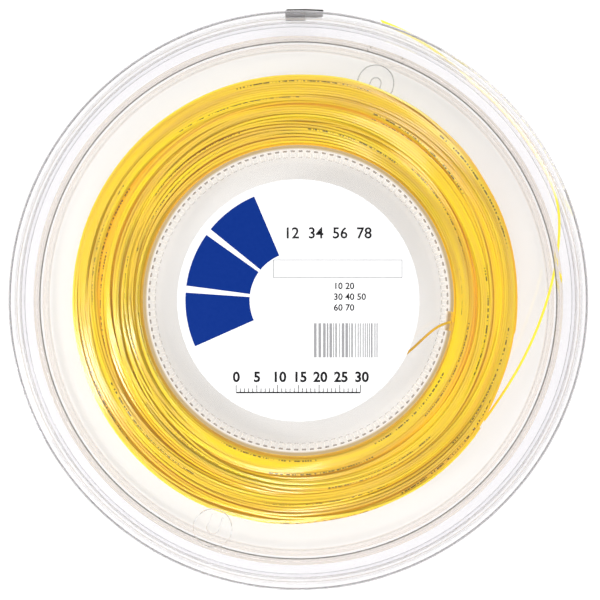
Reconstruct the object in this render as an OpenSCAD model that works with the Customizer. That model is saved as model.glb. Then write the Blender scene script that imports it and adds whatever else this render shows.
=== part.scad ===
// String reel: two clear flanges on a ribbed drum, a closing strip that turns between
// their rims, and a wound string whose free end leaves through a slot in the strip.
// The reel lies flat: +Z is its axis, z = 0 is the outer face of the rear flange.

/* [Flanges] */
// Outer diameter of the flanges
reel_d = 280; // [270:1:320]
// Clear width between the two flange discs
disc_gap = 22.4; // [20:0.2:30]
// Wall thickness of the flange mouldings
wall_t = 1.3; // [1.1:0.1:1.6]
// Radial width of the rim, from its step wall to its outer edge
rim_w = 12.25; // [10:0.25:16]
// Distance between the two lands of the rims
land_gap = 8.6; // [7.5:0.1:12]
// Radius of the engraved ring near the edge of each disc
ring_r = 9.55; // [6:0.05:11]
// Angle of the front flange's engraved ring
front_ring_a = 249.4; // [0:0.1:360]
// Angle of the rear flange's engraved ring
rear_ring_a = 70.4; // [0:0.1:360]

/* [Hub] */
// Outer diameter of the drum
drum_d = 150.4; // [120:0.2:160]
// Wall thickness of the drum
drum_t = 1.8; // [1.2:0.1:2.6]
// Number of ribs inside the drum
rib_count = 120; // [60:1:150]
// Height of the drum's ribs
rib_h = 1.0; // [0.4:0.1:1.6]
// Diameter of the spindle hole
bore_d = 13.3; // [8:0.1:16]
// Length of the collar round the spindle hole
collar_h = 5; // [2:0.5:8]
// Width of the notch for the first end of the string
notch_w = 9.4; // [6:0.2:14]
// Depth of that notch, from the drum's front edge
notch_h = 7; // [5:0.5:10]

/* [Closing strip] */
// Thickness of the strip
strip_t = 0.8; // [0.6:0.1:1]
// Thickness of the tongues on the strip's edges
tongue_t = 0.6; // [0.5:0.1:0.8]
// How far a tongue reaches into its groove
tongue_h = 0.9; // [0.6:0.1:1]
// Running gap between the strip and the flanges
strip_gap = 0.3; // [0.2:0.05:0.4]
// Angle at which the strip's window starts
window_from = 22.5; // [18:0.5:24]
// Angle at which the strip's window ends
window_to = 53; // [51:0.5:53.5]
// Number of bars in the window
bar_count = 11; // [6:1:11]
// Angle from one bar to the next
bar_step = 2.6; // [2.4:0.05:2.65]
// Width of a bar
bar_w = 0.9; // [0.6:0.1:1.4]
// Width of the string's exit slot
slot_w = 2.6; // [2.2:0.1:3.6]
// Angle at which the exit slot ends, from its open mouth at the window
slot_to = 60; // [59:0.5:66]

/* [Clip] */
// Angle of the clip's peg
clip_a = 90.8; // [85:0.1:120]
// Length of the clip's body
clip_w = 10; // [7:0.5:14]
// Length of the clip's tapered tail
clip_tail = 8.8; // [5:0.2:12]
// How far the clip stands out from the strip
clip_h = 3.5; // [2.5:0.1:5]
// Width of the clip across the strip
clip_depth = 7; // [4:0.5:7.5]
// Diameter of the clip's peg
peg_d = 2; // [1.2:0.1:3]

/* [String] */
// Diameter of the string
string_d = 1.25; // [1.05:0.05:1.4]
// Diameter over the winding
winding_d = 216.9; // [190:0.1:217.2]
// Turns of the outer layer on each end face
face_turns = 9; // [6:1:9]
// Turns of the outer layer round the outside
side_turns = 6; // [4:1:6]
// Gap between the winding and a flange disc
face_gap = 0.35; // [0.3:0.05:1]

/* [Label] */
// Diameter of the label
label_d = 116.8; // [90:0.2:119]
// Thickness of the label
label_t = 0.2; // [0.1:0.05:0.3]

/* [Hidden] */
$fn = 180;
eps = 0.01;

// Flanges, with heights measured from the mid-plane between them
mid_z = disc_gap / 2 + wall_t;
rim_r = reel_d / 2;
step_r = rim_r - rim_w;
disc_in = disc_gap / 2;
disc_out = disc_in + wall_t;
land_in = land_gap / 2;
bore_r = bore_d / 2;
collar_t = 1.5;
engrave_h = 0.3;
engrave_w = 0.6;
ring_margin = 1.0;
ring_at = step_r - ring_r - ring_margin;
u_r = 3.05;
u_leg = 6;

// Drum
drum_r = drum_d / 2;
drum_in = drum_r - drum_t;
rib_step = 360 / rib_count;
notch_a = -7.8;

// Closing strip, from the rim's outer face inwards
strip_out = rim_r - 0.1;
strip_in = strip_out - strip_t;
strip_half = land_in - strip_gap;
tongue_out = strip_in - 0.2;
tongue_in = tongue_out - tongue_t;
rail_h = 0.8;
bar_from = window_from + 1.4;

// Clip
peg_gap = 0.05;
peg_in = 1.2;
clip_left = clip_w * 0.45;

// Winding
string_r = string_d / 2;
winding_r = winding_d / 2 - string_r;
inner_turn_r = drum_r + string_r + 0.5;
face_z = disc_in - face_gap - string_r;
turns = 2 * face_turns + side_turns;
rings_a_turn = 24;
layer_sides = 6;
seat = 0.05;
core_r = winding_r * cos(180 / rings_a_turn) - string_r - seat;
core_z = face_z - string_r - seat;

// Loose ends of the string
cord_sides = 8;
// Angle, radius and height above the mid-plane along the free end
tail_route = [
    [-33, 109.4, 3.0], [-27, 110.0, 3.0], [-21, 111.7, 2.9], [-15, 114.2, 2.7], [-9, 117.2, 2.4],
    [-3, 120.7, 2.0], [3, 124.7, 1.6], [9, 129.1, 1.2], [15, 133.5, 0.8], [19, 136.1, 0.5],
    [23, 137.7, 0.3], [28, 138.2, 0.1], [34, 138.2, 0], [40, 138.2, 0], [46, 138.2, 0],
    [51, 138.3, 0], [54, 139.0, 0], [57, 140.3, 0], [60, 141.6, 0], [63.5, 142.6, 0],
    [68, 143.4, 0], [73.5, 144.4, 0]];
tail_steps = 3;
// Position along the first end, from the drum's notch into the hub
inner_route = [
    [74.2, -10.5, 7.6], [71.0, -11.5, 7.5], [68.0, -12.9, 7.2], [64.5, -15.5, 6.6],
    [60.5, -19.2, 5.7], [56.5, -23.1, 4.7], [52.5, -26.6, 3.7], [48.3, -29.8, 2.9],
    [44.0, -32.6, 2.2], [39.8, -34.9, 1.7]];
inner_steps = 1;

// A point at an angle, a radius and a height
function polar(a, r, z) = [r * cos(a), r * sin(a), z];

// One value of a Catmull-Rom curve between b and c
function between(a, b, c, d, t) =
    b + 0.5 * t * (c - a + t * (2 * a - 5 * b + 4 * c - d + t * (3 * (b - c) + d - a)));

// Points along a smooth curve through a route, with a number of steps between its points
function smooth(p, steps) = [
    for (i = [0:len(p) - 2], s = [0:steps - 1])
        between(p[max(i - 1, 0)], p[i], p[i + 1], p[min(i + 2, len(p) - 1)], s / steps),
    p[len(p) - 1]];

// Unit vector of v, and the direction of a path at its point i
function unit(v) = v / norm(v);
function heading(path, i) =
    unit(path[min(i + 1, len(path) - 1)] - path[max(i - 1, 0)]);

// The corners of the ring round point i of a path
function ring(path, i, r, sides) =
    let (t = heading(path, i), u = unit(cross([0, 0, 1], t)), v = cross(t, u))
    [for (k = [0:sides - 1])
        path[i] + r * (cos(360 * k / sides) * u + sin(360 * k / sides) * v)];

// A closed tube along a path
module tube(path, r, sides) {
    n = len(path);
    points = [for (i = [0:n - 1]) each ring(path, i, r, sides)];
    walls = [
        for (i = [0:n - 2], k = [0:sides - 1])
            let (a = i * sides + k, b = i * sides + (k + 1) % sides)
            each [[a, a + sides, b], [b, a + sides, b + sides]]];
    first = [for (k = [1:sides - 2]) [0, k, k + 1]];
    last = [for (k = [1:sides - 2]) [(n - 1) * sides, (n - 1) * sides + k + 1, (n - 1) * sides + k]];
    polyhedron(points, concat(walls, first, last), convexity = 10);
}

// Height and radius of the outer layer after a number of turns
function layer_r(t) =
    t < face_turns ? inner_turn_r + (winding_r - inner_turn_r) * t / face_turns
    : t > turns - face_turns ? inner_turn_r + (winding_r - inner_turn_r) * (turns - t) / face_turns
    : winding_r;
function layer_z(t) = face_z * (1 - 2 * min(max(t - face_turns, 0), side_turns) / side_turns);

// The outer layer: out across the front, round the outside, and in across the rear
layer_path = [
    for (i = [0:turns * rings_a_turn])
        let (t = i / rings_a_turn)
        polar(notch_a + 360 * t, layer_r(t), mid_z + layer_z(t))];

// Least gap between neighbouring turns
function least_gap(path, reach) = min([
    for (i = [0:len(path) - 1], j = [i + reach / 2:min(i + 3 * reach / 2, len(path) - 1)])
        norm(path[i] - path[j]) - string_d]);

module flange_profile() {
    difference() {
        union() {
            // disc
            translate([bore_r, disc_in])
                square([step_r - bore_r, wall_t]);
            // collar of the spindle hole
            translate([bore_r, disc_in - collar_h])
                square([collar_t, collar_h + eps]);
            // step wall
            translate([step_r - wall_t, land_in])
                square([wall_t, disc_out - land_in]);
            // land
            translate([step_r - wall_t, land_in])
                square([rim_w + wall_t, wall_t]);
            // outer lip
            translate([rim_r - wall_t, land_in])
                square([wall_t, disc_out - land_in]);
        }
        // groove in which the strip's tongue runs
        translate([tongue_in - strip_gap, land_in - eps])
            square([tongue_t + 2 * strip_gap, tongue_h + eps]);
    }
}

// The engraved ring and U, centred on the ring, the U open towards -X
module engraving() {
    difference() {
        cylinder(h = engrave_h + eps, r = ring_r);
        translate([0, 0, -eps])
            cylinder(h = engrave_h + 3 * eps, r = ring_r - engrave_w);
    }
    difference() {
        union() {
            cylinder(h = engrave_h + eps, r = u_r);
            translate([-u_leg, -u_r, 0])
                cube([u_leg, 2 * u_r, engrave_h + eps]);
        }
        translate([0, 0, -eps])
            cylinder(h = engrave_h + 3 * eps, r = u_r - engrave_w);
        translate([-u_leg - eps, engrave_w - u_r, -eps])
            cube([u_leg + eps, 2 * (u_r - engrave_w), engrave_h + 3 * eps]);
    }
}

// A flange with its outer face up, at its height above the mid-plane
module flange(ring_a) {
    difference() {
        rotate_extrude()
            flange_profile();
        rotate([0, 0, ring_a])
            translate([ring_at, 0, disc_out - engrave_h])
                engraving();
    }
}

module front_flange() {
    color([0.90, 0.92, 0.95, 0.35])
        translate([0, 0, mid_z])
            flange(front_ring_a);
}

module rear_flange() {
    color([0.88, 0.90, 0.94, 0.35])
        translate([0, 0, mid_z])
            mirror([0, 0, 1])
                flange(rear_ring_a);
}

module hub_drum() {
    color([0.86, 0.88, 0.91, 0.5])
        translate([0, 0, mid_z])
            difference() {
                translate([0, 0, -disc_in])
                    linear_extrude(height = disc_gap)
                        difference() {
                            circle(r = drum_r);
                            polygon([
                                for (i = [0:rib_count - 1])
                                    each [
                                        polar(rib_step * (i + 0.10), drum_in, 0),
                                        polar(rib_step * (i + 0.60), drum_in, 0),
                                        polar(rib_step * (i + 0.75), drum_in - rib_h, 0),
                                        polar(rib_step * (i + 0.95), drum_in - rib_h, 0)]]
                                * [[1, 0], [0, 1], [0, 0]]);
                        }
                rotate([0, 0, notch_a])
                    translate([drum_in - rib_h - 1, -notch_w / 2, disc_in - notch_h])
                        cube([drum_t + rib_h + 2, notch_w, notch_h + 1]);
            }
}

// The strip's section: a thin band with a thicker rail and a tongue along each edge
module strip_section() {
    translate([strip_in, -strip_half])
        square([strip_t, 2 * strip_half]);
    for (side = [-1, 1]) {
        translate([tongue_in, side * (strip_half - rail_h / 2) - rail_h / 2])
            square([strip_out - tongue_in, rail_h]);
        tongue_section(side);
    }
}

// The tongue and the rail under it, on one edge
module tongue_section(side) {
    low = strip_half - rail_h;
    high = land_in + tongue_h - strip_gap;
    translate([tongue_in, side * (low + high) / 2 - (high - low) / 2])
        square([tongue_t, high - low]);
}

// A flat wedge round the reel's axis, from one angle to another
module wedge(from, to, height) {
    translate([0, 0, -height / 2])
        linear_extrude(height = height)
            polygon([[0, 0], [2 * rim_r * cos(from), 2 * rim_r * sin(from)],
                [2 * rim_r * cos(to), 2 * rim_r * sin(to)]]);
}

module closing_strip() {
    color([0.88, 0.90, 0.94, 0.35])
        translate([0, 0, mid_z])
            difference() {
                rotate_extrude()
                    strip_section();
                wedge(window_from, window_to, disc_gap);
                // exit slot, open at the window and round at its far end
                wedge(window_to - 1, slot_to, slot_w);
                rotate([0, 0, slot_to])
                    translate([strip_in - 1, 0, 0])
                        rotate([0, 90, 0])
                            cylinder(h = strip_t + 2, r = slot_w / 2, $fn = 48);
                // hole for the clip's peg
                rotate([0, 0, clip_a])
                    translate([strip_in - 1, 0, 0])
                        rotate([0, 90, 0])
                            cylinder(h = strip_t + 2, d = peg_d + 2 * peg_gap, $fn = 48);
            }
}

// The side view of a bar, with a foot on each rail
module bar_section() {
    foot_in = tongue_in + 0.2;
    foot_z = strip_half - rail_h + 0.1;
    polygon([
        [foot_in, -strip_half], [strip_out, -strip_half], [strip_out, strip_half],
        [foot_in, strip_half], [foot_in, foot_z], [strip_in, foot_z],
        [strip_in, -foot_z], [foot_in, -foot_z]]);
}

module exit_comb() {
    color([0.90, 0.90, 0.93, 0.35])
        translate([0, 0, mid_z])
            union() {
                for (side = [-1, 1])
                    rotate([0, 0, window_from])
                        rotate_extrude(angle = window_to - window_from)
                            tongue_section(side);
                for (i = [0:bar_count - 1])
                    rotate([90, 0, bar_from + i * bar_step])
                        translate([0, 0, -bar_w / 2])
                            linear_extrude(height = bar_w)
                                bar_section();
            }
}

module strip_clip() {
    base_y = strip_out - clip_h;
    top_y = strip_out + clip_h;
    color([0.10, 0.10, 0.11])
        translate([0, 0, mid_z])
            rotate([0, 0, clip_a - 90])
                union() {
                    difference() {
                        translate([0, 0, -clip_depth / 2])
                            linear_extrude(height = clip_depth)
                                polygon([
                                    [-clip_left, base_y],
                                    [clip_w - clip_left, base_y],
                                    [clip_w - clip_left, strip_out + 0.45 * clip_h],
                                    [clip_w - clip_left + clip_tail, top_y - 0.35 * clip_h],
                                    [clip_w - clip_left + clip_tail, top_y - 0.15 * clip_h],
                                    [clip_w - clip_left, top_y],
                                    [0.8 - clip_left, top_y],
                                    [-clip_left, top_y - 0.8]]);
                        translate([0, 0, -clip_depth])
                            cylinder(h = 2 * clip_depth, r = strip_out);
                    }
                    translate([0, strip_in - peg_in, 0])
                        rotate([-90, 0, 0])
                            cylinder(h = strip_t + peg_in + clip_h / 2, d = peg_d, $fn = 48);
                }
}

module label() {
    color([0.97, 0.97, 0.98])
        translate([0, 0, mid_z + disc_out])
            cylinder(h = label_t, d = label_d);
}

module winding_core() {
    color([0.93, 0.74, 0.16])
        translate([0, 0, mid_z])
            rotate_extrude()
                translate([drum_r + seat, -core_z])
                    square([core_r - drum_r - seat, 2 * core_z]);
}

module winding_layer() {
    echo(least_gap_between_turns = least_gap(layer_path, rings_a_turn));
    color([0.96, 0.78, 0.14])
        tube(layer_path, string_r, layer_sides);
}

module string_tail() {
    points = [for (p = smooth(tail_route, tail_steps)) polar(p[0], p[1], mid_z + p[2])];
    color([0.96, 0.80, 0.10])
        tube(points, string_r, cord_sides);
}

module string_inner_end() {
    points = [for (p = smooth(inner_route, inner_steps)) p + [0, 0, mid_z]];
    color([0.85, 0.66, 0.12])
        tube(points, string_r, cord_sides);
}

front_flange();
rear_flange();
hub_drum();
closing_strip();
exit_comb();
strip_clip();
label();
winding_core();
winding_layer();
string_tail();
string_inner_end();
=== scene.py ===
import math
import random

import bmesh
import bpy
from mathutils import Matrix, Vector


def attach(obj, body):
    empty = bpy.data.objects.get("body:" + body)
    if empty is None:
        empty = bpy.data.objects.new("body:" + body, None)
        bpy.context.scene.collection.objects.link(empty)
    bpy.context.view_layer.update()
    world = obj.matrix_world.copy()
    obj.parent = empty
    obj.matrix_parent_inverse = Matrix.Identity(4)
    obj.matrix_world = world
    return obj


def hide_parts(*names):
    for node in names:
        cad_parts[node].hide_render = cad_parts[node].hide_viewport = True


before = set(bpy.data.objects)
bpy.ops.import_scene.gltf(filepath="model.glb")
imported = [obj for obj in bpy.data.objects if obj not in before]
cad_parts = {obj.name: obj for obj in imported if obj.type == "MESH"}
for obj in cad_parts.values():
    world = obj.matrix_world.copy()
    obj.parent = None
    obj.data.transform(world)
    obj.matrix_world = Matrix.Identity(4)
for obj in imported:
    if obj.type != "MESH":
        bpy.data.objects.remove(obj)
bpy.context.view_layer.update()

# Camera. It looks straight down on the reel lying on its rear flange, from less than
# half a metre above, so the rear rim shows just inside the front one.
def placed(name, data):
    """A new object in the scene, from a bmesh, which is used up, or from other data."""
    if isinstance(data, bmesh.types.BMesh):
        mesh = bpy.data.meshes.new(name)
        data.to_mesh(mesh)
        data.free()
        data = mesh
    made = bpy.data.objects.new(name, data)
    bpy.context.collection.objects.link(made)
    return made


camera_data = bpy.data.cameras.new("camera")
camera_data.sensor_width = 36
camera_data.lens = 57.2
camera_data.clip_start = 0.01
camera = placed("camera", camera_data)
camera.location = (0.0008, 0.0002, 0.485)
bpy.context.scene.camera = camera
bpy.context.scene.view_settings.view_transform = "Standard"

# Table. A plain white surface that the reel lies on. It shows white in the clear
# plastic too, and keeps the reel's soft shadow.
table_mesh = bmesh.new()
bmesh.ops.create_grid(table_mesh, x_segments=8, y_segments=8, size=4)
bmesh.ops.translate(table_mesh, vec=(0, 0, -0.0002), verts=table_mesh.verts)
table = placed("table", table_mesh)


def fresh_material(name):
    """A new material, and its main shader."""
    made = bpy.data.materials.new(name)
    made.use_nodes = True
    return made, made.node_tree.nodes["Principled BSDF"]


def tune(made, **settings):
    """Sets a node's options, in small letters, and its inputs, by name or by i and a number."""
    for key, value in settings.items():
        if key[0] == "i" and key[1:].isdigit():
            made.inputs[int(key[1:])].default_value = value
        elif key.islower():
            setattr(made, key, value)
        else:
            made.inputs[key.replace("_", " ")].default_value = value
    return made


table_white, shader = fresh_material("table_white")
tune(shader, Base_Color=(0.44, 0.44, 0.44, 1), Roughness=0.9, Specular_IOR_Level=0.1,
     Emission_Color=(1, 1, 1, 1), Emission_Strength=0.67)
table.data.materials.append(table_white)

# Light. A pale room, darker towards the horizon so that clear edges draw a line and
# right overhead so that the flat disc stays clear, and soft boxes above the reel.
def node(material, kind, **settings):
    """A node in a material, the world or a node group, with its settings as in tune()."""
    made = getattr(material, "node_tree", material).nodes.new("ShaderNode" + kind)
    return tune(made, **settings)


def join(material, *pairs):
    """Links outputs to inputs, given as output, input, output, input."""
    for out, into in zip(pairs[::2], pairs[1::2]):
        getattr(material, "node_tree", material).links.new(out, into)


def ramp(material, *stops):
    """A colour ramp through its stops, each a position and a red, a green and a blue."""
    made = node(material, "ValToRGB")
    elements = made.color_ramp.elements
    for element, (position, *colour) in zip(elements[:], (stops[0], stops[-1])):
        element.position = position
        element.color = (*colour, 1)
    for position, *colour in stops[1:-1]:
        elements.new(position).color = (*colour, 1)
    return made


world = bpy.data.worlds.new("room")
world.use_nodes = True
bpy.context.scene.world = world
sky = world.node_tree.nodes["Background"]
room_path = node(world, "LightPath")
room_way = node(world, "TexCoord")
room_split = node(world, "SeparateXYZ")
room_glow = ramp(world, (0.05, 0.60, 0.58, 0.585), (0.60, 0.84, 0.84, 0.84),
                 (0.90, 0.84, 0.84, 0.84), (0.95, 0.32, 0.32, 0.32))
room_seen = node(world, "Mix", data_type="RGBA", B=(0.97, 0.97, 0.97, 1))
join(world, room_way.outputs["Generated"], room_split.inputs[0], room_split.outputs["Z"],
     room_glow.inputs[0], room_path.outputs["Is Camera Ray"], room_seen.inputs["Factor"],
     room_glow.outputs["Color"], room_seen.inputs["A"],
     room_seen.outputs["Result"], sky.inputs["Color"])

# name, place, width, length, power
for name, place, wide, long, power in (
        ("box_left", (-0.60, -0.21, 0.70), 0.21, 0.21, 3.4),
        ("box_near", (-0.08, -0.70, 0.75), 0.32, 0.14, 2.4),
        ("box_far", (0.50, 0.72, 0.95), 0.60, 0.45, 3.4)):
    lamp_data = bpy.data.lights.new(name, "AREA")
    lamp_data.shape = "RECTANGLE"
    lamp_data.size = wide
    lamp_data.size_y = long
    lamp_data.energy = power
    lamp = placed(name, lamp_data)
    lamp.location = place
    lamp.rotation_euler = (-Vector(place)).to_track_quat("-Z", "Y").to_euler()

# Free end of the string. A round polyester monofilament, 1.25 mm thick. It leaves the
# winding, runs inside the closing strip and comes out through the strip's slot, where
# its end is cut at a slant.
mid_z = 0.0125
string_d = 0.00125
# angle, radius and height above the middle of the reel
tail_route = (
    (-33, 0.1087, 0.0030), (-27, 0.1098, 0.0030), (-21, 0.1117, 0.0029), (-15, 0.1142, 0.0027),
    (-9, 0.1172, 0.0024), (-3, 0.1207, 0.0020), (3, 0.1247, 0.0016), (9, 0.1291, 0.0012),
    (15, 0.1335, 0.0008), (19, 0.1361, 0.0005), (23, 0.1377, 0.0003), (28, 0.1382, 0.0001),
    (34, 0.1382, 0), (40, 0.1382, 0), (46, 0.1382, 0), (51, 0.1383, 0), (54, 0.1390, 0),
    (57, 0.1403, 0), (60, 0.1416, 0), (63.5, 0.1426, 0), (68, 0.1434, 0), (73.5, 0.1444, 0))


def curved(route, steps):
    """Points along a smooth curve through a route, with a number of steps between its points."""
    points = []
    last = len(route) - 1
    for i in range(last):
        a, b, c, d = (Vector(route[min(max(k, 0), last)]) for k in (i - 1, i, i + 1, i + 2))
        for step in range(steps):
            t = step / steps
            points.append(b + 0.5 * t * (c - a + t * (2 * a - 5 * b + 4 * c - d
                                                      + t * (3 * (b - c) + d - a))))
    points.append(Vector(route[last]))
    return points


def around(angle, radius, height):
    """The point at an angle in degrees, a radius and a height above the middle of the reel."""
    turn = math.radians(angle)
    return Vector((radius * math.cos(turn), radius * math.sin(turn), mid_z + height))


def string_length(points):
    """The length of a line through the points."""
    return sum((b - a).length for a, b in zip(points, points[1:]))


def final_mesh(piece):
    """The mesh that a piece comes to, with its bevel, type or modifiers applied."""
    return bpy.data.meshes.new_from_object(
        piece.evaluated_get(bpy.context.evaluated_depsgraph_get()))


def drawn_string(name, points, thickness, resolution):
    """A string along the points. Its UV map counts metres along it and turns round it."""
    line = bpy.data.curves.new(name, "CURVE")
    line.dimensions = "3D"
    line.bevel_depth = thickness / 2
    line.bevel_resolution = resolution
    line.use_fill_caps = True
    line.twist_mode = "Z_UP"
    spline = line.splines.new("POLY")
    spline.points.add(len(points) - 1)
    spline.points.foreach_set("co", [x for p in points for x in (p[0], p[1], p[2], 1)])
    spline.use_smooth = True
    shape = placed(name + "_line", line)
    tube = final_mesh(shape)
    bpy.data.objects.remove(shape)
    tube.name = name
    metres = string_length(points)
    for corner in tube.uv_layers[0].data:
        corner.uv = (corner.uv[0] * metres, corner.uv[1])
    solid = bmesh.new()
    solid.from_mesh(tube)
    bmesh.ops.remove_doubles(solid, verts=solid.verts, dist=1e-7)
    bmesh.ops.recalc_face_normals(solid, faces=solid.faces)
    for face in solid.faces:
        face.smooth = len(face.verts) == 4
    solid.to_mesh(tube)
    solid.free()
    return placed(name, tube)


def maths(material, operation, **settings):
    """A node that does one sum."""
    return node(material, "Math", operation=operation, **settings)


def spread(material, low, high, to_low=0.0, to_high=1.0):
    """A node that maps one range of a value onto another, and stops at its ends."""
    return node(material, "MapRange", From_Min=low, From_Max=high, To_Min=to_low, To_Max=to_high)


def from_axis(material):
    """A point's place, the level way to it from the reel's axis, and how far out it is."""
    place = node(material, "TexCoord")
    flat = node(material, "VectorMath", operation="MULTIPLY", i1=(1, 1, 0))
    length = node(material, "VectorMath", operation="LENGTH")
    join(material, place.outputs["Object"], flat.inputs[0], flat.outputs[0], length.inputs[0])
    return place.outputs["Object"], flat.outputs[0], length.outputs["Value"]


# The string's plastic is a clear bright yellow with a low gloss. A mark of short dark
# ticks is printed along one side of it, a hand's width in every few.
string_yellow, shader = fresh_material("string_yellow")
m = string_yellow
# the emission is a painted glow; its colour is set below, by how deep a strand lies
tune(shader, IOR=1.53, Subsurface_Weight=0.4, Subsurface_Radius=(0.5, 0.5, 0.15),
     Subsurface_Scale=0.0010, Emission_Strength=0.30)
spot = node(m, "UVMap")
split = node(m, "SeparateXYZ")
join(m, spot.outputs[0], split.inputs[0])
along = split.outputs["X"]
round_it = split.outputs["Y"]
# the tone changes from bundle to bundle of the turns, more than along a turn
place, flat_way, far_out = from_axis(m)
way_out = node(m, "VectorMath", operation="NORMALIZE")
lanes = maths(m, "MULTIPLY", i1=230.0)
lane_at = node(m, "CombineXYZ")
lane = node(m, "VectorMath", operation="ADD")
drift = node(m, "TexNoise", Scale=1.0, Detail=1.5)
tone = ramp(m, (0.34, 0.76, 0.465, 0.050), (0.62, 0.97, 0.67, 0.008))
join(m, flat_way, way_out.inputs[0], far_out, lanes.inputs[0],
     lanes.outputs[0], lane_at.inputs["Z"], way_out.outputs["Vector"], lane.inputs[0],
     lane_at.outputs[0], lane.inputs[1], lane.outputs["Vector"], drift.inputs["Vector"],
     drift.outputs[0], tone.inputs[0])
# the mark: where along the string it comes, its ticks, and the side that it is on
mark_every = 0.67
tick_every = 0.0015
block = maths(m, "MULTIPLY", i1=1 / mark_every)
block_part = maths(m, "FRACT")
block_on = maths(m, "GREATER_THAN", i1=0.915)
cell = maths(m, "MULTIPLY", i1=1 / tick_every)
cell_number = maths(m, "FLOOR")
cell_part = maths(m, "FRACT")
cell_luck = node(m, "TexWhiteNoise", noise_dimensions="1D")
cell_wide = maths(m, "LESS_THAN")
join(m, along, block.inputs[0], block.outputs[0], block_part.inputs[0],
     block_part.outputs[0], block_on.inputs[0], along, cell.inputs[0],
     cell.outputs[0], cell_number.inputs[0], cell.outputs[0], cell_part.inputs[0],
     cell_number.outputs[0], cell_luck.inputs["W"], cell_part.outputs[0], cell_wide.inputs[0],
     cell_luck.outputs["Value"], cell_wide.inputs[1])
side_wander = node(m, "TexNoise", noise_dimensions="1D", Scale=3.0, Detail=0.0)
side_shift = maths(m, "MULTIPLY_ADD", i1=0.5, i2=-0.125)
half_round = maths(m, "MODULO", i1=0.5)
side_from = maths(m, "SUBTRACT")
side_size = maths(m, "ABSOLUTE")
side_on = maths(m, "LESS_THAN", i1=0.10)
mark = maths(m, "MULTIPLY")
mark_all = maths(m, "MULTIPLY")
join(m, along, side_wander.inputs["W"], side_wander.outputs[0], side_shift.inputs[0],
     round_it, half_round.inputs[0], half_round.outputs[0], side_from.inputs[0],
     side_shift.outputs[0], side_from.inputs[1],
     side_from.outputs[0], side_size.inputs[0], side_size.outputs[0], side_on.inputs[0],
     block_on.outputs[0], mark.inputs[0], cell_wide.outputs[0], mark.inputs[1],
     mark.outputs[0], mark_all.inputs[0], side_on.outputs[0], mark_all.inputs[1])
# painted shade and painted glow: strands deep in the winding are painted a deeper, more orange
# yellow, and the string is given a painted glow, strongest deep in the winding, for the light
# that the others pass on
place_parts = node(m, "SeparateXYZ")
height = maths(m, "SUBTRACT", i1=mid_z)
height_size = maths(m, "ABSOLUTE")
top_part = spread(m, 0.0074, 0.0096)
out_part = spread(m, 0.1080, 0.1100)
lit_part = maths(m, "MAXIMUM")
deep = node(m, "Mix", data_type="RGBA", blend_type="MULTIPLY", Factor=1.0, B=(1.0, 0.80, 0.6, 1))
tone_and_painted_shade = node(m, "Mix", data_type="RGBA")
painted_glow = node(m, "Mix", data_type="RGBA", A=(0.85, 0.37, 0.008, 1), B=(0.36, 0.25, 0.006, 1))
join(m, place, place_parts.inputs[0], place_parts.outputs["Z"], height.inputs[0],
     height.outputs[0], height_size.inputs[0], height_size.outputs[0], top_part.inputs["Value"],
     far_out, out_part.inputs["Value"], top_part.outputs["Result"], lit_part.inputs[0],
     out_part.outputs["Result"], lit_part.inputs[1], tone.outputs[0], deep.inputs["A"],
     lit_part.outputs[0], tone_and_painted_shade.inputs["Factor"], deep.outputs["Result"], tone_and_painted_shade.inputs["A"],
     tone.outputs[0], tone_and_painted_shade.inputs["B"], lit_part.outputs[0], painted_glow.inputs["Factor"],
     painted_glow.outputs["Result"], shader.inputs["Emission Color"])
# painted light: the outermost turns and the free end, clear of the winding, are painted a paler
# yellow, as if against the light, and are painted palest between the rims' lips
free_part = spread(m, 0.1068, 0.1118)
painted_backlight = node(m, "Mix", data_type="RGBA")
window_part = spread(m, 0.108, 0.142)
window = ramp(m, (0.853, 1.0, 0.84, 0.05), (0.879, 1.0, 0.93, 0.80), (0.900, 1.0, 0.93, 0.80),
              (0.929, 1.0, 0.84, 0.05))
# the first end, inside the drum, is in shade
hub_part = spread(m, 0.0735, 0.0755, 0.85, 0.0)
shaded = node(m, "Mix", data_type="RGBA", B=(0.46, 0.31, 0.02, 1))
printed = node(m, "Mix", data_type="RGBA", B=(0.05, 0.03, 0.01, 1))
join(m, far_out, hub_part.inputs["Value"], hub_part.outputs["Result"], shaded.inputs["Factor"],
     far_out, free_part.inputs["Value"], free_part.outputs["Result"], painted_backlight.inputs["Factor"],
     far_out, window_part.inputs["Value"], window_part.outputs["Result"],
     window.inputs[0], window.outputs[0], painted_backlight.inputs["B"],
     tone_and_painted_shade.outputs["Result"], painted_backlight.inputs["A"], painted_backlight.outputs["Result"], shaded.inputs["A"],
     mark_all.outputs[0], printed.inputs["Factor"], shaded.outputs["Result"],
     printed.inputs["A"], printed.outputs["Result"], shader.inputs["Base Color"])
# the turns of a bundle lie so close that they shine as one soft band, which leans a little
# in or out from bundle to bundle, and its gloss is a little uneven
gloss = spread(m, 0.0, 1.0, 0.14, 0.26)
surface = node(m, "NewGeometry")
height_side = maths(m, "SIGN")
as_one = spread(m, 0.0070, 0.0078, 0.0, 0.91)
rolls = maths(m, "MULTIPLY_ADD", i1=95.0, i2=7.3)
roll_at = node(m, "CombineXYZ")
roll_place = node(m, "VectorMath", operation="ADD")
roll = node(m, "TexNoise", Scale=1.0, Detail=0.5)
lean = ramp(m, (0.40, 0, 0, 0), (0.50, 0.25, 0.25, 0.25), (0.575, 0.25, 0.25, 0.25),
            (0.68, 0.55, 0.55, 0.55))
leaning = node(m, "VectorMath", operation="SCALE")
upright = node(m, "CombineXYZ")
band_way = node(m, "VectorMath", operation="ADD")
blend = node(m, "Mix", data_type="VECTOR")
shine = node(m, "VectorMath", operation="NORMALIZE")
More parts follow.
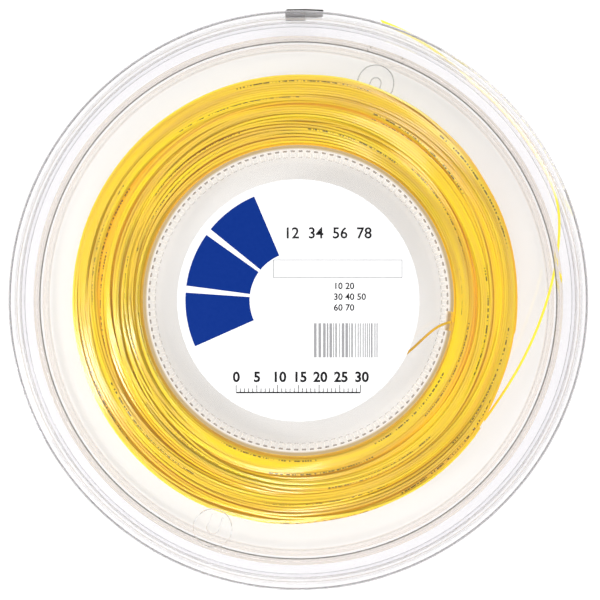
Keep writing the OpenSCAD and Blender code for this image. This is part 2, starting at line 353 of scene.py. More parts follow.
join(m, drift.outputs[0], gloss.inputs["Value"], gloss.outputs["Result"],
     shader.inputs["Roughness"], height.outputs[0], height_side.inputs[0],
     height_size.outputs[0], as_one.inputs["Value"],
     far_out, rolls.inputs[0], rolls.outputs[0], roll_at.inputs["Z"],
     way_out.outputs["Vector"], roll_place.inputs[0], roll_at.outputs[0], roll_place.inputs[1],
     roll_place.outputs["Vector"], roll.inputs["Vector"], roll.outputs[0], lean.inputs[0],
     way_out.outputs["Vector"], leaning.inputs[0], lean.outputs[0], leaning.inputs["Scale"],
     height_side.outputs[0], upright.inputs["Z"], leaning.outputs["Vector"], band_way.inputs[0],
     upright.outputs[0], band_way.inputs[1], as_one.outputs["Result"], blend.inputs["Factor"],
     surface.outputs["Normal"], blend.inputs["A"], band_way.outputs["Vector"], blend.inputs["B"],
     blend.outputs["Result"], shine.inputs[0], shine.outputs["Vector"], shader.inputs["Normal"])

tail_points = [around(*p) for p in curved(tail_route, 8)]
string_tail = drawn_string("string_free_end", tail_points, string_d, 3)
# the slanted cut
cut_reach = 0.0008
cut_slope = 1.2
slant = bmesh.new()
slant.from_mesh(string_tail.data)
ahead = (tail_points[-1] - tail_points[-2]).normalized()
outward = Vector((ahead.y, -ahead.x, 0))
for v in slant.verts:
    if (v.co - tail_points[-1]).length < cut_reach:
        v.co += ahead * (v.co - tail_points[-1]).dot(outward) * cut_slope
slant.to_mesh(string_tail.data)
slant.free()
string_tail.data.materials.append(string_yellow)
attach(string_tail, "strip")
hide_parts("string_tail")

# First end of the string. It comes through the notch in the drum's front edge and bends
# down into the hub, under the label's edge.
inner_route = (
    (0.0742, -0.0105, 0.0201), (0.0710, -0.0115, 0.0200), (0.0680, -0.0129, 0.0197),
    (0.0645, -0.0155, 0.0191), (0.0605, -0.0192, 0.0182), (0.0565, -0.0231, 0.0172),
    (0.0525, -0.0266, 0.0162), (0.0483, -0.0298, 0.0154), (0.0440, -0.0326, 0.0147),
    (0.0398, -0.0349, 0.0142))
inner_points = curved(inner_route, 6)
string_first = drawn_string("string_first_end", inner_points, string_d, 3)
string_first.data.materials.append(string_yellow)
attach(string_first, "reel")
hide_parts("string_inner_end")

# Winding. Two hundred metres of the same string, wound on the drum under light tension.
# The turns lie side by side in bundles and cross at small angles where the winder
# changed its way, so each strand rests on those already there.
steps_a_turn = 120
# how close two turns can lie, bedded into each other by the winder's pull
bedded = string_d * 0.84
winding_in = 0.0760
winding_out = 0.1085
# the angle at which the string comes through the drum, in degrees
first_angle = -8
# outer edge of the winding, by angle in degrees
edge_shape = ((-180, 0.1101), (-150, 0.1099), (-120, 0.1103), (-100, 0.1098), (-80, 0.1087),
              (-60, 0.1090), (-40, 0.1088), (-20, 0.1071), (0, 0.1069), (30, 0.1080),
              (45, 0.1093), (60, 0.1103), (75, 0.1108), (90, 0.1100), (120, 0.1101),
              (150, 0.1101), (180, 0.1101))


def eased(t):
    """A share from 0 to 1, with a soft start and a soft end."""
    t = min(max(t, 0), 1)
    return t * t * (3 - 2 * t)


def edge_at(degrees):
    """The winding's outer edge at an angle, to the middle of the outermost strand."""
    a = (degrees + 180) % 360 - 180
    for (a0, r0), (a1, r1) in zip(edge_shape, edge_shape[1:]):
        if a0 <= a <= a1:
            t = (a - a0) / (a1 - a0)
            return r0 + (r1 - r0) * eased(t)


def new_swing(luck, sway):
    """How a bundle sways as it goes round: the size, number and phase of three waves."""
    return [(luck.uniform(0.5, 1.0) * sway / k, k, luck.uniform(0, 6.28)) for k in (1, 2, 3)]


def wound(seed, legs, floor, ceiling):
    """Across and height of one strand, step by step, as it is laid to and fro over a face."""
    luck = random.Random(seed)
    laid = [[] for _ in range(steps_a_turn)]
    across_all, height_all, step = [], [], 0
    for start, end, gap_chance, gap_wide, sway in legs:
        # the place of each turn of this leg, and how its bundle sways
        way = 1 if end > start else -1
        low, high = min(start, end), max(start, end)
        margin = 2.5 * sway
        places, sways = [start], [new_swing(luck, sway)]
        while (end - places[-1]) * way > string_d:
            advance = bedded * 1.02
            swing = sways[-1]
            if luck.random() < gap_chance:
                advance += gap_wide * luck.uniform(0.4, 1.4)
                swing = new_swing(luck, sway)
            places.append(min(max(places[-1] + way * advance, low), high))
            sways.append(swing)
        change_at = [luck.uniform(0.1, 0.7) for _ in places]
        change_for = [luck.uniform(0.12, 0.3) for _ in places]
        for turn in range(len(places) - 1):
            for i in range(steps_a_turn):
                angle = 2 * math.pi * step / steps_a_turn
                both = []
                for place, swing in ((places[turn], sways[turn]),
                                     (places[turn + 1], sways[turn + 1])):
                    room = min(place - low, high - place, margin) / margin
                    both.append(place + max(room, 0) * sum(
                        size * math.sin(k * angle + phase) for size, k, phase in swing))
                changed = eased((i / steps_a_turn - change_at[turn]) / change_for[turn])
                across = both[0] + (both[1] - both[0]) * changed
                height = floor
                under = laid[step % steps_a_turn]
                for a, h in under:
                    apart = abs(across - a)
                    if apart < bedded:
                        height = max(height, h + math.sqrt(bedded ** 2 - apart ** 2))
                height = min(height, ceiling)
                under.append((across, height))
                across_all.append(across)
                height_all.append(height)
                step += 1
    # a stiff string can't follow every bump
    reach = 4
    smooth = []
    for i in range(step):
        part = height_all[max(i - reach, 0):i + reach + 1]
        smooth.append(sum(part) / len(part))
    return list(zip(across_all, smooth))


def face_points(way, turns):
    """A strand wound over an end face, in the reel's frame."""
    points = []
    for i, (across, height) in enumerate(turns):
        degrees = 360 * i / steps_a_turn + first_angle
        share = min(max((across - winding_in) / (winding_out - winding_in), 0), 1.05)
        radius = across + (edge_at(degrees) - winding_out) * share ** 2
        points.append(around(degrees, radius, way * height))
    return points


face_floor = 0.0074
# half the gap between the discs, and the air between each disc and the string
half_gap = 0.0112
air = 0.0003
face_top = half_gap - air - string_d / 2
# each leg's start and end, how likely and how wide its gaps are, and its sway
front_turns = wound(11, (
    (0.0763, 0.1075, 0.06, 0.0006, 0.0001),
    (0.1078, 0.0768, 0.20, 0.0014, 0.0016),
    (0.0772, 0.1078, 0.22, 0.0040, 0.0026)), face_floor, face_top)
back_turns = wound(23, (
    (0.0763, 0.1075, 0.06, 0.0006, 0.0001),
    (0.1078, 0.0768, 0.20, 0.0016, 0.0015),
    (0.0772, 0.1078, 0.25, 0.0040, 0.0026)), face_floor, face_top)
side_turns = wound(37, (
    (-0.0088, 0.0088, 0.05, 0.0004, 0.0001),
    (0.0086, -0.0082, 0.3, 0.0015, 0.0006)), 0.0, 0.0012)
side_depth = 0.0018
# the lane that the free end came off lies deeper than the rest of the side, all the way
# round, and leaves it room as the strip turns
lane_height = tail_route[0][2]
lane_bottom = tail_route[0][1] - 0.00135
lane_half = 0.0013
lane_slope = 0.0009
side_points = []
for i, (across, height) in enumerate(side_turns):
    degrees = 360 * i / steps_a_turn
    radius = edge_at(degrees) - side_depth + height
    sunk = 1 - eased((abs(across - lane_height) - lane_half) / lane_slope)
    radius += (min(radius, lane_bottom) - radius) * sunk
    side_points.append(around(degrees, radius, across))

# the front's last turn ends where the free end comes off
unwound = 8
for name, points in (("wound_front", face_points(1, front_turns[:-unwound])),
                     ("wound_back", face_points(-1, back_turns)),
                     ("wound_side", side_points)):
    strand = drawn_string(name, points, string_d, 2)
    strand.data.materials.append(string_yellow)
    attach(strand, "reel")
    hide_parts("winding_layer")


# Heart of the winding: the turns under the ones that show, as one ribbed mass.
def spun(name, outline, segments):
    """A ring of the outline, given as radius and height, turned all the way round."""
    ring = bmesh.new()
    corners = [ring.verts.new((r, 0, z)) for r, z in outline]
    sides = [ring.edges.new((a, b)) for a, b in zip(corners, corners[1:] + corners[:1])]
    bmesh.ops.spin(ring, geom=corners + sides, cent=(0, 0, 0), axis=(0, 0, 1),
                   angle=2 * math.pi, steps=segments, use_merge=True)
    bmesh.ops.remove_doubles(ring, verts=ring.verts, dist=1e-7)
    bmesh.ops.recalc_face_normals(ring, faces=ring.faces)
    for face in ring.faces:
        face.smooth = True
    return placed(name, ring)


heart_in = 0.0754
heart_out = 0.1059
heart_half = 0.0072
rib_high = 0.00018
# a rib takes four steps
face_steps = 100
side_steps = 60
waves = [rib_high * math.cos(i * math.pi / 2) for i in range(face_steps + 1)]
face_line = [(heart_in + (heart_out - heart_in) * i / face_steps, heart_half + waves[i])
             for i in range(face_steps + 1)]
heart_outline = [(r, mid_z + z) for r, z in face_line]
heart_outline += [(heart_out + waves[i], mid_z + heart_half - 2 * heart_half * i / side_steps)
                  for i in range(1, side_steps)]
heart_outline += [(r, mid_z - z) for r, z in face_line[::-1]]
wound_heart = spun("wound_heart", heart_outline, 128)
# painted shade: the heart is painted a deeper, more orange yellow than the string, for the shade
# under the turns that show
m, shader = fresh_material("string_yellow_painted_shade")
tune(shader, Roughness=0.5)
place = node(m, "TexCoord")
patches = node(m, "TexNoise", Scale=60.0, Detail=3.0)
tone = ramp(m, (0.35, 0.84, 0.48, 0.03), (0.65, 0.94, 0.58, 0.04))
join(m, place.outputs["Object"], patches.inputs["Vector"], patches.outputs[0], tone.inputs[0],
     tone.outputs[0], shader.inputs["Base Color"])
wound_heart.data.materials.append(m)
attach(wound_heart, "reel")
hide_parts("winding_core")


# Flanges. Each is one clear injection moulding: a thin flat disc with a collared spindle
# hole, a step down to a flat land at the rim and a lip back up. A ring with a U in it is
# engraved near the edge of each.
def rounded(corners, radius, steps=3):
    """An outline with rounded corners, and a point past each arc that keeps the flats flat."""
    outline = []
    for i, corner in enumerate(corners):
        here = Vector(corner)
        back = Vector(corners[i - 1]) - here
        on = Vector(corners[(i + 1) % len(corners)]) - here
        half = back.angle(on) / 2
        reach = min(radius / math.tan(half), 0.35 * back.length, 0.35 * on.length)
        round_r = reach * math.tan(half)
        toward = (back.normalized() + on.normalized()).normalized()
        centre = here + toward * (round_r / math.sin(half))
        first = here + back.normalized() * reach - centre
        last = here + on.normalized() * reach - centre
        a0 = math.atan2(first.y, first.x)
        sweep = (math.atan2(last.y, last.x) - a0 + math.pi) % (2 * math.pi) - math.pi
        past = min(0.00012, 0.1 * back.length, 0.1 * on.length)
        outline.append(tuple(here + back.normalized() * (reach + past)))
        for step in range(steps + 1):
            a = a0 + sweep * step / steps
            outline.append((centre.x + round_r * math.cos(a), centre.y + round_r * math.sin(a)))
        outline.append(tuple(here + on.normalized() * (reach + past)))
    return outline


wall = 0.0013
rim_r = 0.140
step_r = 0.12775
bore_r = 0.00665
land_in = 0.0043
disc_in = half_gap
disc_out = 0.0125
groove = (0.1380, 0.1392, 0.0009)
# radius and height above the middle of the reel, once round the wall
flange_section = (
    (bore_r, disc_out), (bore_r, disc_in - 0.005), (bore_r + 0.0015, disc_in - 0.005),
    (bore_r + 0.0015, disc_in), (step_r - wall, disc_in), (step_r - wall, land_in),
    (groove[0], land_in), (groove[0], land_in + groove[2]), (groove[1], land_in + groove[2]),
    (groove[1], land_in), (rim_r, land_in), (rim_r, disc_out), (rim_r - wall, disc_out),
    (rim_r - wall, land_in + wall), (step_r, land_in + wall), (step_r, disc_out))


def effect(name, inputs, outputs):
    """A node group with named inputs and outputs, for an effect that several materials share."""
    group = bpy.data.node_groups.new(name, "ShaderNodeTree")
    for title, kind, value in inputs:
        made = group.interface.new_socket(title, in_out="INPUT", socket_type="NodeSocket" + kind)
        made.default_value = value
    for title, kind in outputs:
        group.interface.new_socket(title, in_out="OUTPUT", socket_type="NodeSocket" + kind)
    return group, group.nodes.new("NodeGroupInput"), group.nodes.new("NodeGroupOutput")


# the faint waves and haze of a clear moulding
moulding, given, told = effect(
    "moulding", (("Colour", "Color", (1, 1, 1, 1)), ("Cloud", "Float", 0.02)),
    (("Colour", "Color"), ("Roughness", "Float"), ("Normal", "Vector")))
place = node(moulding, "TexCoord")
haze = node(moulding, "TexNoise", Scale=35.0, Detail=4.0)
gloss = spread(moulding, 0.35, 0.75)
deeper = node(moulding, "Mix", data_type="RGBA", blend_type="MULTIPLY", Factor=1.0,
              B=(0.985, 0.985, 0.985, 1))
tint = node(moulding, "Mix", data_type="RGBA")
flow = node(moulding, "TexNoise", Scale=14.0, Detail=1.0)
wave = node(moulding, "Bump", Strength=0.02, Distance=0.0005)
join(moulding, place.outputs["Object"], haze.inputs["Vector"], haze.outputs[0],
     gloss.inputs["Value"], given.outputs["Cloud"], gloss.inputs["To Max"],
     gloss.outputs["Result"], told.inputs["Roughness"], given.outputs["Colour"],
     deeper.inputs["A"], given.outputs["Colour"], tint.inputs["A"], deeper.outputs["Result"],
     tint.inputs["B"], haze.outputs[0], tint.inputs["Factor"], tint.outputs["Result"],
     told.inputs["Colour"], place.outputs["Object"], flow.inputs["Vector"], flow.outputs[0],
     wave.inputs["Height"], wave.outputs[0], told.inputs["Normal"])


def clear_plastic(name, colour, cloud=0.02):
    """Clear polystyrene: glass-like, with the faint waves and haze of a moulding."""
    m, shader = fresh_material(name)
    tune(shader, Transmission_Weight=1.0, IOR=1.50, Metallic=0.0)
    look = node(m, "Group", node_tree=moulding, Colour=colour, Cloud=cloud)
    join(m, look.outputs["Colour"], shader.inputs["Base Color"], look.outputs["Roughness"],
         shader.inputs["Roughness"], look.outputs["Normal"], shader.inputs["Normal"])
    # lamp light and bounced light pass straight through
    light_path = node(m, "LightPath")
    passing = maths(m, "MAXIMUM")
    see_through = node(m, "BsdfTransparent", Color=(0.98, 0.98, 0.98, 1))
    either = node(m, "MixShader")
    join(m, light_path.outputs["Is Shadow Ray"], passing.inputs[0],
         light_path.outputs["Is Diffuse Ray"], passing.inputs[1],
         passing.outputs[0], either.inputs[0], shader.outputs[0], either.inputs[1],
         see_through.outputs[0], either.inputs[2],
         either.outputs[0], m.node_tree.nodes["Material Output"].inputs["Surface"])
    return m


clear_flange = clear_plastic("clear_flange", (0.985, 0.980, 0.985, 1))
# painted shade: the step is painted a darker, browner tint, for the longer way that light takes
# through the plastic there than through the disc or the land, and the land is painted a faint
# blue grey
m = clear_flange
way_across = spread(m, 0.120, 0.142)
step_painted_shade = ramp(m, (0.270, 0.990, 0.984, 0.978), (0.285, 0.880, 0.835, 0.805),
             (0.355, 0.880, 0.835, 0.805), (0.370, 0.958, 0.953, 0.970))
look = next(n for n in m.node_tree.nodes if n.type == "GROUP")
_, _, far_out = from_axis(m)
join(m, far_out, way_across.inputs["Value"], way_across.outputs["Result"],
     step_painted_shade.inputs[0], step_painted_shade.outputs[0], look.inputs["Colour"])


def cut(piece, tool):
    """Cuts the tool's shape out of a piece, and removes the tool."""
    saw = piece.modifiers.new("cut", "BOOLEAN")
    saw.operation = "DIFFERENCE"
    saw.solver = "EXACT"
    saw.object = tool
    result = final_mesh(piece)
    piece.modifiers.clear()
    result.name = piece.name
    piece.data = result
    bpy.data.objects.remove(tool)


def box(shape, size, centre):
    """Adds a box to a bmesh."""
    corners = bmesh.ops.create_cube(shape, size=1)["verts"]
    bmesh.ops.scale(shape, vec=size, verts=corners)
    bmesh.ops.translate(shape, vec=centre, verts=corners)


def turned(shape, degrees):
    """Turns a bmesh round the reel's axis."""
    bmesh.ops.rotate(shape, cent=(0, 0, 0), verts=shape.verts,
                     matrix=Matrix.Rotation(math.radians(degrees), 3, "Z"))


def bevelled(shape, edges, offset, segments):
    """Rounds edges of a bmesh."""
    bmesh.ops.bevel(shape, geom=edges, offset=offset, offset_type="OFFSET", segments=segments,
                    profile=0.5, affect="EDGES", material=-1)


def engraving(name, degrees, top, deep):
    """The ring and the U of an engraving, as a solid with a V section."""
    wide, point, over = 0.0008, 0.0001, 0.0003
    ring_r, ring_at, u_r, u_leg = 0.00925, 0.1172, 0.0028, 0.006
    low, high = (top - deep, top + over) if top > mid_z else (top + deep, top - over)
    shape = bmesh.new()
    made = [shape.verts.new((r, 0, z)) for r, z in (
        (ring_r - point, low), (ring_r + point, low), (ring_r + wide / 2, high),
        (ring_r - wide / 2, high))]
    edges = [shape.edges.new((a, b)) for a, b in zip(made, made[1:] + made[:1])]
    bmesh.ops.spin(shape, geom=made + edges, cent=(0, 0, 0), axis=(0, 0, 1),
                   angle=2 * math.pi, steps=64, use_merge=True)
    # the U, from the end of one leg round to the end of the other
    rims = []
    for half, z in ((wide / 2, high), (point, low)):
        rims.append([])
        for side in (1, -1):
            r = u_r + side * half
            line = [(-u_leg - half, r)] + [
                (r * math.sin(a), r * math.cos(a))
                for a in (math.pi * k / 16 for k in range(17))] + [(-u_leg - half, -r)]
            rims[-1] += [shape.verts.new((x, y, z)) for x, y in line[::side]]
        shape.faces.new(rims[-1])
    for i in range(len(rims[0])):
        shape.faces.new((rims[0][i - 1], rims[0][i], rims[1][i], rims[1][i - 1]))
    bmesh.ops.remove_doubles(shape, verts=shape.verts, dist=1e-7)
    bmesh.ops.recalc_face_normals(shape, faces=shape.faces)
    turn = Matrix.Rotation(math.radians(degrees), 4, "Z") @ Matrix.Translation((ring_at, 0, 0))
    bmesh.ops.transform(shape, matrix=turn, verts=shape.verts)
    return placed(name, shape)


for name, side, ring_degrees, deep, cad in (("clear_front", 1, 249.4, 0.0010, "front_flange"),
                                            ("clear_rear", -1, 70.4, 0.0005, "rear_flange")):
    section = [(r, mid_z + side * z) for r, z in rounded(flange_section, 0.0001)]
    flange = spun(name, section, 480)
    cut(flange, engraving(name + "_engraving", ring_degrees, mid_z + side * disc_out, deep))
    flange.data.set_sharp_from_angle(angle=math.radians(35))
    flange.data.materials.clear()
    flange.data.materials.append(clear_flange)
    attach(flange, "reel")
    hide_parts(cad)

# Drum. A clear moulded tube between the flanges, with 120 fine ribs down its inside, and
# a notch in its front edge for the first end of the string.
drum_r = 0.0752
drum_in = 0.0728
rib_in = 0.0724
drum_half = disc_in - 0.00004
drum_ribs = 120
drum_rough = bmesh.new()
inside = [around(360 / drum_ribs * (i + share), radius, -drum_half) for i in range(drum_ribs)
          for share, radius in ((0.05, drum_in), (0.40, drum_in), (0.48, rib_in), (0.97, rib_in))]
outside = [around(180 / drum_ribs * i, drum_r, -drum_half) for i in range(2 * drum_ribs)]
loops = []
for outline in (inside, outside):
    corners = [drum_rough.verts.new(corner) for corner in outline]
    loops += [drum_rough.edges.new((a, b)) for a, b in zip(corners, corners[1:] + corners[:1])]
bmesh.ops.triangle_fill(drum_rough, use_beauty=True, use_dissolve=False, edges=loops)
grown = bmesh.ops.extrude_face_region(drum_rough, geom=drum_rough.faces[:])["geom"]
bmesh.ops.translate(drum_rough, vec=(0, 0, 2 * drum_half),
                    verts=[g for g in grown if isinstance(g, bmesh.types.BMVert)])
bmesh.ops.recalc_face_normals(drum_rough, faces=drum_rough.faces)
drum = placed("clear_hub", drum_rough)
notch = bmesh.new()
box(notch, (0.006, 0.0094, 0.014), (0.0738, 0, mid_z + disc_in))
turned(notch, -7.8)
bevelled(notch, notch.edges[:], 0.0008, 3)
cut(drum, placed("notch", notch))
for face in drum.data.polygons:
    face.use_smooth = True
drum.data.set_sharp_from_angle(angle=math.radians(20))
clear_hub = clear_plastic("clear_hub", (0.96, 0.96, 0.96, 1), 0.08)
m = clear_hub
shader = m.node_tree.nodes["Principled BSDF"]
# it is partly frosted, and has a painted glow
tune(shader, Transmission_Weight=0.35, Emission_Strength=0.22)
# painted shade: the ends of the ribs, where they meet the discs, are painted a dark brown
old = shader.inputs["Base Color"].links[0].from_socket
place, _, far_out = from_axis(m)
apart = node(m, "SeparateXYZ")
front_shade_reach = 0.0045
rear_shade_reach = 0.0012
on_rib = maths(m, "LESS_THAN", i1=rib_in + 0.00018)
height = maths(m, "SUBTRACT", i1=mid_z)
front_end = maths(m, "GREATER_THAN", i1=drum_half - front_shade_reach)
rear_end = maths(m, "LESS_THAN", i1=rear_shade_reach - drum_half)
at_end = maths(m, "MAXIMUM")
painted_rib_shade = maths(m, "MULTIPLY")
rib_shade_colour = node(m, "Mix", data_type="RGBA", B=(0.20, 0.14, 0.09, 1))
# painted shade: its wall is painted brownish, for the shaded string seen through it
wall_part = spread(m, drum_in - 0.0001, drum_r - 0.0012)
wall_painted_shade = node(m, "Mix", data_type="RGBA", B=(0.60, 0.45, 0.22, 1))
# painted glow: the drum glows white, but not where it is painted shaded
drum_painted_glow = node(m, "Mix", data_type="RGBA", A=(1, 1, 1, 1), B=(0, 0, 0, 1))
painted_shade_mask = maths(m, "MAXIMUM")
join(m, place, apart.inputs[0], far_out, on_rib.inputs[0],
     apart.outputs["Z"], height.inputs[0], height.outputs[0], front_end.inputs[0],
     height.outputs[0], rear_end.inputs[0], front_end.outputs[0], at_end.inputs[0],
     rear_end.outputs[0], at_end.inputs[1], on_rib.outputs[0], painted_rib_shade.inputs[0],
     at_end.outputs[0], painted_rib_shade.inputs[1], painted_rib_shade.outputs[0], rib_shade_colour.inputs["Factor"],
     far_out, wall_part.inputs["Value"], wall_part.outputs["Result"],
     wall_painted_shade.inputs["Factor"], old, wall_painted_shade.inputs["A"],
     wall_painted_shade.outputs["Result"], rib_shade_colour.inputs["A"],
     rib_shade_colour.outputs["Result"], shader.inputs["Base Color"],
     painted_rib_shade.outputs[0], painted_shade_mask.inputs[0], wall_part.outputs["Result"], painted_shade_mask.inputs[1],
     painted_shade_mask.outputs[0], drum_painted_glow.inputs["Factor"], drum_painted_glow.outputs["Result"],
     shader.inputs["Emission Color"])
drum.data.materials.clear()
drum.data.materials.append(clear_hub)
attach(drum, "reel")
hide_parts("hub_drum")

# Closing strip. A clear flexible band, extruded with a rail and a tongue along each edge,
# that runs in the flanges' grooves. A window is cut out of it, then a slot for the string.
strip_out = 0.1399
strip_in = 0.1391
strip_half = 0.0040
rail = 0.0008
tongue = (0.1383, 0.1389, 0.0049)
# the window's ends, in degrees
window_from = 22.5
window_to = 53.0
strip_section = (
    (strip_out, -strip_half), (strip_out, strip_half), (tongue[1], strip_half),
    (tongue[1], tongue[2]), (tongue[0], tongue[2]), (tongue[0], strip_half - rail),
    (strip_in, strip_half - rail), (strip_in, rail - strip_half), (tongue[0], rail - strip_half),
    (tongue[0], -tongue[2]), (tongue[1], -tongue[2]), (tongue[1], -strip_half))


def swept(name, section, start, end, segments):
    """A length of the section, bent round the reel between two angles, with closed ends."""
    band = bmesh.new()
    corners = [band.verts.new((r, 0, mid_z + z)) for r, z in section]
    cap = band.faces.new(corners)
    turned(band, start)
    bmesh.ops.spin(band, geom=[cap] + cap.edges[:] + cap.verts[:], cent=(0, 0, 0),
                   axis=(0, 0, 1), angle=math.radians(end - start), steps=segments)
    bmesh.ops.recalc_face_normals(band, faces=band.faces)
    for face in band.faces:
        face.smooth = True
    return placed(name, band)


strip = swept("clear_strip_band", rounded(strip_section, 0.00012, 2), window_to,
              360 + window_from, 440)
# the slot opens into the window and has a round end
slot_long = 0.036
slot_wide = 0.0026
slot_at = 60
slot = bmesh.new()
box(slot, (0.004, slot_long, slot_wide), (0.1395, slot_wide / 2 - slot_long / 2, mid_z))
ends = [e for e in slot.edges if all(v.co.y > 0 for v in e.verts)
        and abs(e.verts[0].co.x - e.verts[1].co.x) > 0.001]
bevelled(slot, ends, slot_wide / 2 - 0.00001, 8)
turned(slot, slot_at)
cut(strip, placed("slot", slot))
strip.data.set_sharp_from_angle(angle=math.radians(35))
strip.data.materials.clear()
strip.data.materials.append(clear_plastic("clear_band", (0.985, 0.983, 0.985, 1), 0.05))
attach(strip, "strip")
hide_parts("closing_strip")

# Comb. The strip's rails run on past the window, joined by eleven thin bars, which keep
# them apart and hold the string in.
bars = 11
first_bar = 23.9
bar_every = 2.6
comb_parts = bmesh.new()
rail_section = ((tongue[0], strip_half - rail), (tongue[1], strip_half - rail),
                (tongue[1], tongue[2]), (tongue[0], tongue[2]))
for way in (1, -1):
    rail_piece = swept("rail", [(r, way * z) for r, z in rail_section], window_from, window_to,
                       24)
    comb_parts.from_mesh(rail_piece.data)
    bpy.data.objects.remove(rail_piece)
for i in range(bars):
    bar = bmesh.new()
    box(bar, (0.0008, 0.0009, 0.0080), (0.1395, 0, mid_z))
    for way in (1, -1):
        box(bar, (0.0013, 0.00088, 0.0007), (0.13915, 0, mid_z + way * 0.0036))
    bevelled(bar, bar.edges[:], 0.00015, 2)
    turned(bar, first_bar + bar_every * i)
    bar_mesh = bpy.data.meshes.new("bar")
    bar.to_mesh(bar_mesh)
    bar.free()
    comb_parts.from_mesh(bar_mesh)
    bpy.data.meshes.remove(bar_mesh)
comb = placed("clear_comb", comb_parts)
# the thin bars are cloudier than the band
clear_comb = clear_plastic("clear_comb", (0.94, 0.92, 0.90, 1), 0.15)
tune(clear_comb.node_tree.nodes["Principled BSDF"], Transmission_Weight=0.45)
comb.data.materials.append(clear_comb)
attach(comb, "strip")
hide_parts("exit_comb")

# Clip. A small black moulding pegged through the strip: the finger hold for turning the
# strip to the string.
clip_half = 0.0035
clip_shape = bmesh.new()
clip_line = ((-0.0045, 0.1400), (0.0055, 0.1400), (0.0055, 0.1415), (0.0143, 0.1422),
             (0.0143, 0.1429), (0.0055, 0.1434), (-0.0037, 0.1434), (-0.0045, 0.1426))
face = clip_shape.faces.new([clip_shape.verts.new((x, y, mid_z - clip_half))
                             for x, y in clip_line])
grown = bmesh.ops.extrude_face_region(clip_shape, geom=[face])["geom"]
bmesh.ops.translate(clip_shape, vec=(0, 0, 2 * clip_half),
                    verts=[g for g in grown if isinstance(g, bmesh.types.BMVert)])
bmesh.ops.recalc_face_normals(clip_shape, faces=clip_shape.faces)
bevelled(clip_shape, clip_shape.edges[:], 0.00025, 2)
turned(clip_shape, 0.8)
clip = placed("black_clip", clip_shape)
m, shader = fresh_material("clip_black")
tune(shader, Specular_IOR_Level=0.25)
place = node(m, "TexCoord")
grain = node(m, "TexNoise", Scale=900.0, Detail=3.0)
tone = ramp(m, (0.0, 0.010, 0.009, 0.009), (1.0, 0.030, 0.026, 0.024))
rough = spread(m, 0.0, 1.0, 0.35, 0.55)
pits = node(m, "Bump", Strength=0.25, Distance=0.00008)
join(m, place.outputs["Object"], grain.inputs["Vector"], grain.outputs[0], tone.inputs[0],
     tone.outputs[0], shader.inputs["Base Color"], grain.outputs[0], rough.inputs["Value"],
     rough.outputs["Result"], shader.inputs["Roughness"], grain.outputs[0], pits.inputs["Height"],
     pits.outputs[0], shader.inputs["Normal"])
clip.data.materials.append(m)
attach(clip, "strip")
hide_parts("strip_clip")

# Label. A round self-adhesive paper label stuck over the hub on the front disc. The paper
# dips a little over the spindle hole.
label_r = 0.0584
label_low = 0.02502
label_high = 0.0252
dip = label_high - 0.00012
paper = bmesh.new()
profile = ((0.0, dip), (0.0060, dip), (0.0064, label_high - 0.00010),
           (0.0068, label_high - 0.00002), (0.0072, label_high), (0.0560, label_high),
           (label_r - 0.00010, label_high), (label_r, label_high - 0.00004),
           (label_r, label_low), (0.0, label_low))
corners = [paper.verts.new((r, 0, z)) for r, z in profile]
edges = [paper.edges.new((a, b)) for a, b in zip(corners, corners[1:])]
bmesh.ops.spin(paper, geom=corners + edges, cent=(0, 0, 0), axis=(0, 0, 1),
               angle=2 * math.pi, steps=128, use_merge=True)
bmesh.ops.remove_doubles(paper, verts=paper.verts, dist=1e-7)
bmesh.ops.recalc_face_normals(paper, faces=paper.faces)
for face in paper.faces:
    face.smooth = True
label = placed("paper_label", paper)
label.data.set_sharp_from_angle(angle=math.radians(40))


# the faint fibre of coated paper, which shows in the ink on it too
fibres, given, told = effect(
    "fibres", (("Dark", "Color", (0, 0, 0, 1)), ("Pale", "Color", (1, 1, 1, 1)),
               ("Smooth", "Float", 0.3), ("Rough", "Float", 0.5)),
    (("Colour", "Color"), ("Roughness", "Float"), ("Normal", "Vector")))
place = node(fibres, "TexCoord")
fibre = node(fibres, "TexNoise", Scale=700.0, Detail=6.0)
tone = node(fibres, "Mix", data_type="RGBA")
rough = node(fibres, "MapRange")
tooth = node(fibres, "Bump", Strength=0.08, Distance=0.00003)
join(fibres, place.outputs["Object"], fibre.inputs["Vector"], fibre.outputs[0],
     tone.inputs["Factor"], given.outputs["Dark"], tone.inputs["A"], given.outputs["Pale"],
     tone.inputs["B"], tone.outputs["Result"], told.inputs["Colour"], fibre.outputs[0],
     rough.inputs["Value"], given.outputs["Smooth"], rough.inputs["To Min"],
     given.outputs["Rough"], rough.inputs["To Max"], rough.outputs["Result"],
     told.inputs["Roughness"], fibre.outputs[0], tooth.inputs["Height"], tooth.outputs[0],
     told.inputs["Normal"])


def printed_paper(name, dark, pale, roughness):
    """Coated paper or the ink on it, with a faint fibre."""
    m, shader = fresh_material(name)
    tune(shader, Specular_IOR_Level=0.15)
    look = node(m, "Group", node_tree=fibres, Dark=dark, Pale=pale, Smooth=roughness - 0.08,
                Rough=roughness + 0.08)
    join(m, look.outputs["Colour"], shader.inputs["Base Color"], look.outputs["Roughness"],
         shader.inputs["Roughness"], look.outputs["Normal"], shader.inputs["Normal"])
    return m


label.data.materials.append(printed_paper(
    "label_white", (0.90, 0.90, 0.91, 1), (0.94, 0.94, 0.945, 1), 0.45))
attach(label, "reel")
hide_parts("label")

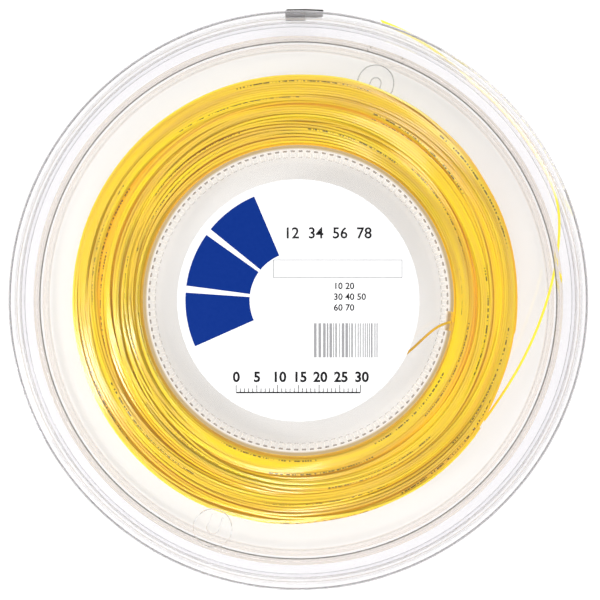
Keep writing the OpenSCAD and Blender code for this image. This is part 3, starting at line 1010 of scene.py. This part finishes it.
# Print on the label: plain blocks, rules, numbers and a scale, in blue, grey and black
# ink, 0.02 mm proud.
ink_top = label_high + 0.00002
ink_low = label_high - 0.00001
inks = {
    "blue": printed_paper("ink_blue", (0.000, 0.022, 0.200, 1), (0.001, 0.028, 0.225, 1), 0.35),
    "grey": printed_paper("ink_grey", (0.30, 0.30, 0.31, 1), (0.36, 0.36, 0.37, 1), 0.45),
    "pale": printed_paper("ink_pale", (0.68, 0.68, 0.69, 1), (0.74, 0.74, 0.75, 1), 0.45),
    "black": printed_paper("ink_black", (0.006, 0.006, 0.007, 1), (0.016, 0.016, 0.018, 1), 0.35)}
sheets = {ink: bmesh.new() for ink in inks}


def patch(ink, line):
    """A flat patch of ink inside a closed line."""
    shape = sheets[ink]
    face = shape.faces.new([shape.verts.new((x, y, ink_low)) for x, y in line])
    grown = bmesh.ops.extrude_face_region(shape, geom=[face])["geom"]
    bmesh.ops.translate(shape, vec=(0, 0, ink_top - ink_low),
                        verts=[g for g in grown if isinstance(g, bmesh.types.BMVert)])


def bar_of_ink(ink, x0, y0, x1, y1):
    """A rectangle of ink."""
    patch(ink, ((x0, y0), (x1, y0), (x1, y1), (x0, y1)))


def rule(ink, a, b, wide):
    """A straight ruled line."""
    a, b = Vector(a), Vector(b)
    across = Vector((a.y - b.y, b.x - a.x)).normalized() * wide / 2
    patch(ink, (a - across, b - across, b + across, a + across))


print_r = 0.0545
# blue segments of a dial at the left
dial_in = 0.0235
for first in (113, 144.5, 176):
    turns = [math.radians(first + 2 * k) for k in range(15)]
    patch("blue", [(print_r * math.cos(a), print_r * math.sin(a)) for a in turns]
          + [(dial_in * math.cos(a), dial_in * math.sin(a)) for a in turns[::-1]])
# thin frame
frame_corners = ((-0.0120, 0.0195), (0.0500, 0.0195), (0.0500, 0.0110), (-0.0120, 0.0110))
for a, b in zip(frame_corners, frame_corners[1:] + frame_corners[:1]):
    rule("grey", a, b, 0.00035)
# bars
luck = random.Random(5)
x = 0.0075
while x < 0.0380:
    wide = luck.choice((0.0005, 0.0008, 0.0013))
    bar_of_ink("grey", x, -0.0275, x + wide, -0.0110)
    x += wide + luck.choice((0.0005, 0.0009))
# scale along the bottom
scale_half = 0.0300
scale_low = -0.0441
scale_every = 0.0020
bar_of_ink("black", -scale_half, -0.0448, scale_half, scale_low)
for i in range(31):
    x = -scale_half + scale_every * i
    tall = 0.0034 if i % 5 == 0 else 0.0017
    bar_of_ink("black", x - 0.00018, scale_low, x + 0.00018, scale_low + tall)
# ring of ticks
for i in range(240):
    if 28 < i < 92 or 148 < i < 172:
        continue
    a = math.radians(1.5 * i)
    way = Vector((math.cos(a), math.sin(a)))
    rule("pale", way * print_r, way * 0.0555, 0.00025)


def numbers(ink, text, x, y, size, fat):
    """Plain figures, set from the left."""
    words = bpy.data.curves.new("figures", "FONT")
    words.body = text
    words.size = size
    words.extrude = (ink_top - ink_low) / 2
    words.resolution_u = 3
    words.offset = fat
    shape = placed("figures", words)
    mesh = final_mesh(shape)
    bpy.data.objects.remove(shape)
    mesh.transform(Matrix.Translation((x, y, (ink_top + ink_low) / 2)))
    sheets[ink].from_mesh(mesh)
    bpy.data.meshes.remove(mesh)


numbers("black", "12  34  56  78", -0.0070, 0.0300, 0.0075, 0.00012)
for row, text in enumerate(("10 20", "30 40 50", "60 70")):
    numbers("black", text, 0.0170, 0.0055 - 0.0052 * row, 0.0044, 0.00008)
for i in range(7):
    numbers("black", str(i * 5), (-0.0316, -0.0216, -0.0126, -0.0026, 0.0072, 0.0172, 0.0272)[i],
            -0.0392, 0.0068, 0.00022)

for ink, shape in sheets.items():
    bmesh.ops.remove_doubles(shape, verts=shape.verts, dist=1e-7)
    bmesh.ops.recalc_face_normals(shape, faces=shape.faces)
    print_piece = placed("print_" + ink, shape)
    print_piece.data.materials.append(inks[ink])
    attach(print_piece, "reel")
